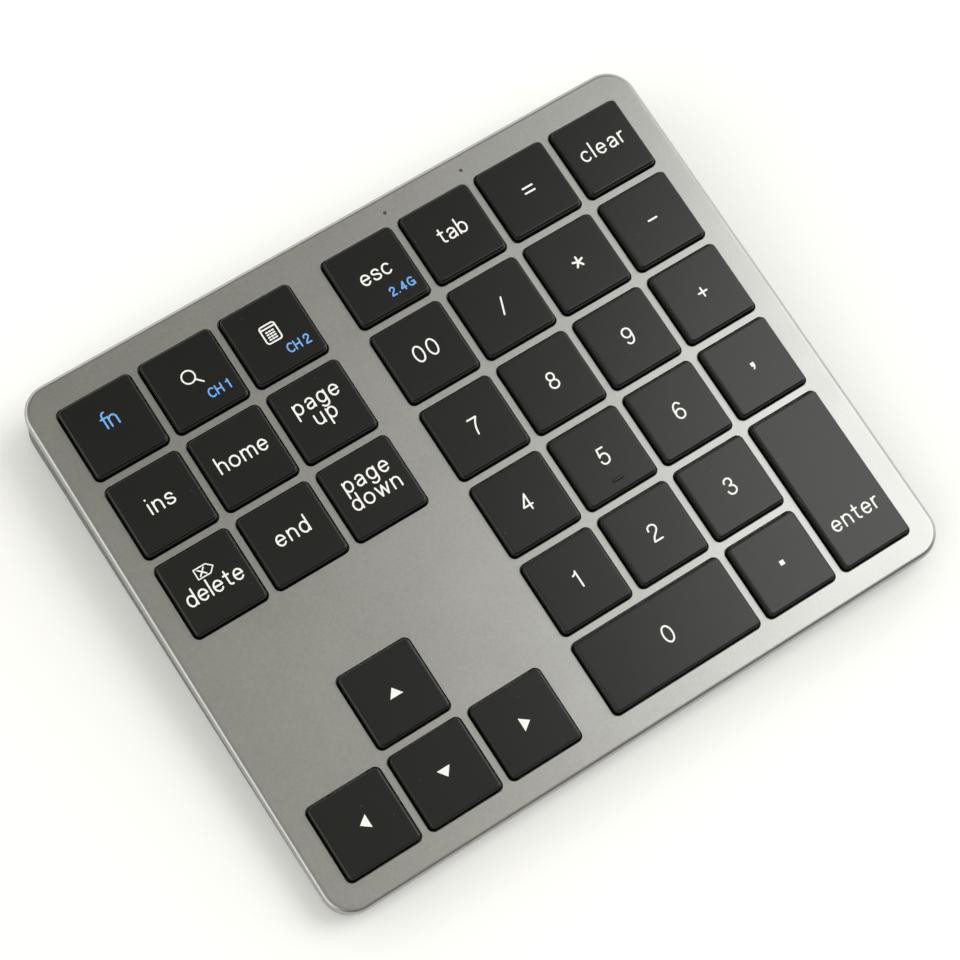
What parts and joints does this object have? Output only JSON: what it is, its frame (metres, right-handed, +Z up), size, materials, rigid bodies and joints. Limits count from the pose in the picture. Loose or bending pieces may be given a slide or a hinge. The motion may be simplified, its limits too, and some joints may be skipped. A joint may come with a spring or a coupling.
{
  "type": "numeric keypad",
  "caption": "Wireless numeric keypad: a wedge-shaped aluminium and plastic case with low scissor-switch keys in two blocks, a power switch and a charging socket.",
  "frame": {"origin": "middle of the keypad's outline, on the surface that its feet stand on", "axes": "+X to the user's right along the longer side, +Y away from the user, +Z up"},
  "size_m": [0.149, 0.1254, 0.0165],
  "materials": {
    "anodised_aluminium": "bead-blasted and anodised, fine satin grain",
    "case_plastic": "fine moulded texture, silver grey",
    "keycap_plastic": "smooth satin with a slight sheen",
    "foot_rubber": "matt",
    "plate_steel": "rolled sheet",
    "membrane_film": "clear printed polyester",
    "dome_silicone": "milky, soft",
    "link_plastic": "smooth moulded acetal",
    "screw_steel": "nickel plated",
    "circuit_board": "green solder mask",
    "tin_shield": "pressed and tinned",
    "connector_plastic": "moulded",
    "battery_wrap": "foil pouch",
    "lead_insulation": "insulated lead",
    "knob_plastic": "moulded",
    "lamp_plastic": "potted lamp",
    "clear_guide": "clear moulding"
  },
  "bodies": {
    "case": {"top_cover": "anodised_aluminium", "bottom_case": "case_plastic", "rubber_feet": "foot_rubber", "key_support_plate": "plate_steel", "membrane_top": "membrane_film", "membrane_spacer": "membrane_film", "membrane_bottom": "membrane_film", "rubber_domes": "dome_silicone", "scissor_outer_links": "link_plastic", "scissor_inner_links": "link_plastic", "case_screws": "screw_steel", "plate_screws": "screw_steel", "main_board": "circuit_board", "radio_shield": "tin_shield", "membrane_connector": "connector_plastic", "battery_cell": "battery_wrap", "battery_leads": "lead_insulation", "charge_socket": "tin_shield", "socket_tongue": "connector_plastic", "switch_body": "tin_shield", "indicator_leds": "lamp_plastic", "light_guides": "clear_guide"},
    "key_fn": {"key_fn": "keycap_plastic"},
    "key_search": {"key_search": "keycap_plastic"},
    "key_calculator": {"key_calculator": "keycap_plastic"},
    "key_esc": {"key_esc": "keycap_plastic"},
    "key_tab": {"key_tab": "keycap_plastic"},
    "key_equals": {"key_equals": "keycap_plastic"},
    "key_clear": {"key_clear": "keycap_plastic"},
    "key_insert": {"key_insert": "keycap_plastic"},
    "key_home": {"key_home": "keycap_plastic"},
    "key_page_up": {"key_page_up": "keycap_plastic"},
    "key_double_zero": {"key_double_zero": "keycap_plastic"},
    "key_divide": {"key_divide": "keycap_plastic"},
    "key_multiply": {"key_multiply": "keycap_plastic"},
    "key_minus": {"key_minus": "keycap_plastic"},
    "key_delete": {"key_delete": "keycap_plastic"},
    "key_end": {"key_end": "keycap_plastic"},
    "key_page_down": {"key_page_down": "keycap_plastic"},
    "key_seven": {"key_seven": "keycap_plastic"},
    "key_eight": {"key_eight": "keycap_plastic"},
    "key_nine": {"key_nine": "keycap_plastic"},
    "key_plus": {"key_plus": "keycap_plastic"},
    "key_four": {"key_four": "keycap_plastic"},
    "key_five": {"key_five": "keycap_plastic"},
    "key_six": {"key_six": "keycap_plastic"},
    "key_comma": {"key_comma": "keycap_plastic"},
    "key_up": {"key_up": "keycap_plastic"},
    "key_one": {"key_one": "keycap_plastic"},
    "key_two": {"key_two": "keycap_plastic"},
    "key_three": {"key_three": "keycap_plastic"},
    "key_enter": {"key_enter": "keycap_plastic"},
    "key_left": {"key_left": "keycap_plastic"},
    "key_down": {"key_down": "keycap_plastic"},
    "key_right": {"key_right": "keycap_plastic"},
    "key_zero": {"key_zero": "keycap_plastic"},
    "key_point": {"key_point": "keycap_plastic"},
    "zero_wire": {"zero_wire": "screw_steel"},
    "enter_wire": {"enter_wire": "screw_steel"},
    "switch_slider": {"switch_slider": "knob_plastic"}
  },
  "joints": [
    {"name": "press_fn", "type": "slide", "parent": "case", "child": "key_fn", "axis": [0, 0.0645, -0.9979], "range_m": [0, 0.0015], "stiffness_N_per_m": 200, "springref_m": -0.0015, "deforming": ["rubber_domes", "scissor_outer_links", "scissor_inner_links"]},
    {"name": "press_search", "type": "slide", "parent": "case", "child": "key_search", "axis": [0, 0.0645, -0.9979], "range_m": [0, 0.0015], "stiffness_N_per_m": 200, "springref_m": -0.0015, "deforming": ["rubber_domes", "scissor_outer_links", "scissor_inner_links"]},
    {"name": "press_calculator", "type": "slide", "parent": "case", "child": "key_calculator", "axis": [0, 0.0645, -0.9979], "range_m": [0, 0.0015], "stiffness_N_per_m": 200, "springref_m": -0.0015, "deforming": ["rubber_domes", "scissor_outer_links", "scissor_inner_links"]},
    {"name": "press_esc", "type": "slide", "parent": "case", "child": "key_esc", "axis": [0, 0.0645, -0.9979], "range_m": [0, 0.0015], "stiffness_N_per_m": 200, "springref_m": -0.0015, "deforming": ["rubber_domes", "scissor_outer_links", "scissor_inner_links"]},
    {"name": "press_tab", "type": "slide", "parent": "case", "child": "key_tab", "axis": [0, 0.0645, -0.9979], "range_m": [0, 0.0015], "stiffness_N_per_m": 200, "springref_m": -0.0015, "deforming": ["rubber_domes", "scissor_outer_links", "scissor_inner_links"]},
    {"name": "press_equals", "type": "slide", "parent": "case", "child": "key_equals", "axis": [0, 0.0645, -0.9979], "range_m": [0, 0.0015], "stiffness_N_per_m": 200, "springref_m": -0.0015, "deforming": ["rubber_domes", "scissor_outer_links", "scissor_inner_links"]},
    {"name": "press_clear", "type": "slide", "parent": "case", "child": "key_clear", "axis": [0, 0.0645, -0.9979], "range_m": [0, 0.0015], "stiffness_N_per_m": 200, "springref_m": -0.0015, "deforming": ["rubber_domes", "scissor_outer_links", "scissor_inner_links"]},
    {"name": "press_insert", "type": "slide", "parent": "case", "child": "key_insert", "axis": [0, 0.0645, -0.9979], "range_m": [0, 0.0015], "stiffness_N_per_m": 200, "springref_m": -0.0015, "deforming": ["rubber_domes", "scissor_outer_links", "scissor_inner_links"]},
    {"name": "press_home", "type": "slide", "parent": "case", "child": "key_home", "axis": [0, 0.0645, -0.9979], "range_m": [0, 0.0015], "stiffness_N_per_m": 200, "springref_m": -0.0015, "deforming": ["rubber_domes", "scissor_outer_links", "scissor_inner_links"]},
    {"name": "press_page_up", "type": "slide", "parent": "case", "child": "key_page_up", "axis": [0, 0.0645, -0.9979], "range_m": [0, 0.0015], "stiffness_N_per_m": 200, "springref_m": -0.0015, "deforming": ["rubber_domes", "scissor_outer_links", "scissor_inner_links"]},
    {"name": "press_double_zero", "type": "slide", "parent": "case", "child": "key_double_zero", "axis": [0, 0.0645, -0.9979], "range_m": [0, 0.0015], "stiffness_N_per_m": 200, "springref_m": -0.0015, "deforming": ["rubber_domes", "scissor_outer_links", "scissor_inner_links"]},
    {"name": "press_divide", "type": "slide", "parent": "case", "child": "key_divide", "axis": [0, 0.0645, -0.9979], "range_m": [0, 0.0015], "stiffness_N_per_m": 200, "springref_m": -0.0015, "deforming": ["rubber_domes", "scissor_outer_links", "scissor_inner_links"]},
    {"name": "press_multiply", "type": "slide", "parent": "case", "child": "key_multiply", "axis": [0, 0.0645, -0.9979], "range_m": [0, 0.0015], "stiffness_N_per_m": 200, "springref_m": -0.0015, "deforming": ["rubber_domes", "scissor_outer_links", "scissor_inner_links"]},
    {"name": "press_minus", "type": "slide", "parent": "case", "child": "key_minus", "axis": [0, 0.0645, -0.9979], "range_m": [0, 0.0015], "stiffness_N_per_m": 200, "springref_m": -0.0015, "deforming": ["rubber_domes", "scissor_outer_links", "scissor_inner_links"]},
    {"name": "press_delete", "type": "slide", "parent": "case", "child": "key_delete", "axis": [0, 0.0645, -0.9979], "range_m": [0, 0.0015], "stiffness_N_per_m": 200, "springref_m": -0.0015, "deforming": ["rubber_domes", "scissor_outer_links", "scissor_inner_links"]},
    {"name": "press_end", "type": "slide", "parent": "case", "child": "key_end", "axis": [0, 0.0645, -0.9979], "range_m": [0, 0.0015], "stiffness_N_per_m": 200, "springref_m": -0.0015, "deforming": ["rubber_domes", "scissor_outer_links", "scissor_inner_links"]},
    {"name": "press_page_down", "type": "slide", "parent": "case", "child": "key_page_down", "axis": [0, 0.0645, -0.9979], "range_m": [0, 0.0015], "stiffness_N_per_m": 200, "springref_m": -0.0015, "deforming": ["rubber_domes", "scissor_outer_links", "scissor_inner_links"]},
    {"name": "press_seven", "type": "slide", "parent": "case", "child": "key_seven", "axis": [0, 0.0645, -0.9979], "range_m": [0, 0.0015], "stiffness_N_per_m": 200, "springref_m": -0.0015, "deforming": ["rubber_domes", "scissor_outer_links", "scissor_inner_links"]},
    {"name": "press_eight", "type": "slide", "parent": "case", "child": "key_eight", "axis": [0, 0.0645, -0.9979], "range_m": [0, 0.0015], "stiffness_N_per_m": 200, "springref_m": -0.0015, "deforming": ["rubber_domes", "scissor_outer_links", "scissor_inner_links"]},
    {"name": "press_nine", "type": "slide", "parent": "case", "child": "key_nine", "axis": [0, 0.0645, -0.9979], "range_m": [0, 0.0015], "stiffness_N_per_m": 200, "springref_m": -0.0015, "deforming": ["rubber_domes", "scissor_outer_links", "scissor_inner_links"]},
    {"name": "press_plus", "type": "slide", "parent": "case", "child": "key_plus", "axis": [0, 0.0645, -0.9979], "range_m": [0, 0.0015], "stiffness_N_per_m": 200, "springref_m": -0.0015, "deforming": ["rubber_domes", "scissor_outer_links", "scissor_inner_links"]},
    {"name": "press_four", "type": "slide", "parent": "case", "child": "key_four", "axis": [0, 0.0645, -0.9979], "range_m": [0, 0.0015], "stiffness_N_per_m": 200, "springref_m": -0.0015, "deforming": ["rubber_domes", "scissor_outer_links", "scissor_inner_links"]},
    {"name": "press_five", "type": "slide", "parent": "case", "child": "key_five", "axis": [0, 0.0645, -0.9979], "range_m": [0, 0.0015], "stiffness_N_per_m": 200, "springref_m": -0.0015, "deforming": ["rubber_domes", "scissor_outer_links", "scissor_inner_links"]},
    {"name": "press_six", "type": "slide", "parent": "case", "child": "key_six", "axis": [0, 0.0645, -0.9979], "range_m": [0, 0.0015], "stiffness_N_per_m": 200, "springref_m": -0.0015, "deforming": ["rubber_domes", "scissor_outer_links", "scissor_inner_links"]},
    {"name": "press_comma", "type": "slide", "parent": "case", "child": "key_comma", "axis": [0, 0.0645, -0.9979], "range_m": [0, 0.0015], "stiffness_N_per_m": 200, "springref_m": -0.0015, "deforming": ["rubber_domes", "scissor_outer_links", "scissor_inner_links"]},
    {"name": "press_up", "type": "slide", "parent": "case", "child": "key_up", "axis": [0, 0.0645, -0.9979], "range_m": [0, 0.0015], "stiffness_N_per_m": 200, "springref_m": -0.0015, "deforming": ["rubber_domes", "scissor_outer_links", "scissor_inner_links"]},
    {"name": "press_one", "type": "slide", "parent": "case", "child": "key_one", "axis": [0, 0.0645, -0.9979], "range_m": [0, 0.0015], "stiffness_N_per_m": 200, "springref_m": -0.0015, "deforming": ["rubber_domes", "scissor_outer_links", "scissor_inner_links"]},
    {"name": "press_two", "type": "slide", "parent": "case", "child": "key_two", "axis": [0, 0.0645, -0.9979], "range_m": [0, 0.0015], "stiffness_N_per_m": 200, "springref_m": -0.0015, "deforming": ["rubber_domes", "scissor_outer_links", "scissor_inner_links"]},
    {"name": "press_three", "type": "slide", "parent": "case", "child": "key_three", "axis": [0, 0.0645, -0.9979], "range_m": [0, 0.0015], "stiffness_N_per_m": 200, "springref_m": -0.0015, "deforming": ["rubber_domes", "scissor_outer_links", "scissor_inner_links"]},
    {"name": "press_enter", "type": "slide", "parent": "case", "child": "key_enter", "axis": [0, 0.0645, -0.9979], "range_m": [0, 0.0015], "stiffness_N_per_m": 200, "springref_m": -0.0015, "deforming": ["rubber_domes", "scissor_outer_links", "scissor_inner_links"]},
    {"name": "press_left", "type": "slide", "parent": "case", "child": "key_left", "axis": [0, 0.0645, -0.9979], "range_m": [0, 0.0015], "stiffness_N_per_m": 200, "springref_m": -0.0015, "deforming": ["rubber_domes", "scissor_outer_links", "scissor_inner_links"]},
    {"name": "press_down", "type": "slide", "parent": "case", "child": "key_down", "axis": [0, 0.0645, -0.9979], "range_m": [0, 0.0015], "stiffness_N_per_m": 200, "springref_m": -0.0015, "deforming": ["rubber_domes", "scissor_outer_links", "scissor_inner_links"]},
    {"name": "press_right", "type": "slide", "parent": "case", "child": "key_right", "axis": [0, 0.0645, -0.9979], "range_m": [0, 0.0015], "stiffness_N_per_m": 200, "springref_m": -0.0015, "deforming": ["rubber_domes", "scissor_outer_links", "scissor_inner_links"]},
    {"name": "press_zero", "type": "slide", "parent": "case", "child": "key_zero", "axis": [0, 0.0645, -0.9979], "range_m": [0, 0.0015], "stiffness_N_per_m": 200, "springref_m": -0.0015, "deforming": ["rubber_domes", "scissor_outer_links", "scissor_inner_links"]},
    {"name": "press_point", "type": "slide", "parent": "case", "child": "key_point", "axis": [0, 0.0645, -0.9979], "range_m": [0, 0.0015], "stiffness_N_per_m": 200, "springref_m": -0.0015, "deforming": ["rubber_domes", "scissor_outer_links", "scissor_inner_links"]},
    {"name": "zero_wire_turn", "type": "hinge", "parent": "case", "child": "zero_wire", "pos_m": [0.01252, -0.04782, 0.00565], "axis": [1, 0, 0], "range_deg": [0, 12.1]},
    {"name": "enter_wire_turn", "type": "hinge", "parent": "case", "child": "enter_wire", "pos_m": [0.06064, -0.0388, 0.00623], "axis": [0, -0.9979, -0.0645], "range_deg": [0, 12.1]},
    {"name": "power_slide", "type": "slide", "parent": "case", "child": "switch_slider", "axis": [1, 0, 0], "range_m": [0, 0.002]}
  ],
  "couplings": [
    {"joint": "zero_wire_turn", "follows": "press_zero", "rad_per_m": 140.4},
    {"joint": "enter_wire_turn", "follows": "press_enter", "rad_per_m": 140.4}
  ]
}
